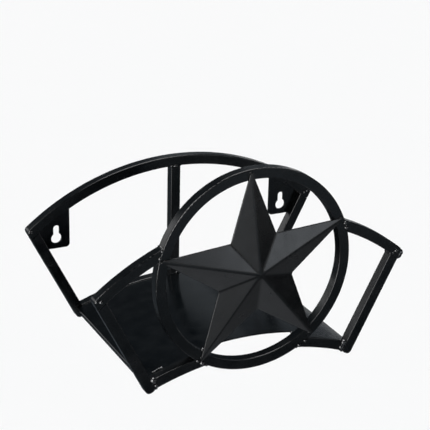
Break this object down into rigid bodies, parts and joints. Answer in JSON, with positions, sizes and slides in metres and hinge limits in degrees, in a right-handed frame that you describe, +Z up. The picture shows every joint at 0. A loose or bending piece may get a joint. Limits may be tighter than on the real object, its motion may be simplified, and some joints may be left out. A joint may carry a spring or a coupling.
{
  "type": "hose hanger",
  "caption": "Wall-mounted garden-hose hanger of welded square bar: fan-shaped frames joined by a curved saddle sheet that carries the coil, with a star on a ring in front.",
  "frame": {"origin": "on the wall plane, midway between the round entries of the two keyholes", "axes": "+X to the right as seen from the front, +Y into the wall, +Z up; the front faces -Y"},
  "size_m": [0.3428, 0.2179, 0.2224],
  "materials": {
    "bar_paint": "semi-gloss black",
    "sheet_paint": "semi-gloss black",
    "star_paint": "satin black"
  },
  "bodies": {
    "root": {"back_arch": "bar_paint", "back_left_bar": "bar_paint", "back_right_bar": "bar_paint", "back_upright": "bar_paint", "back_lower_arc": "bar_paint", "left_keyhole_tab": "sheet_paint", "right_keyhole_tab": "sheet_paint", "saddle_sheet": "sheet_paint", "front_ring": "bar_paint", "front_left_upper_arc": "bar_paint", "front_right_upper_arc": "bar_paint", "front_left_bar": "bar_paint", "front_right_bar": "bar_paint", "front_left_lower_arc": "bar_paint", "front_right_lower_arc": "bar_paint", "star": "star_paint"}
  },
  "joints": []
}
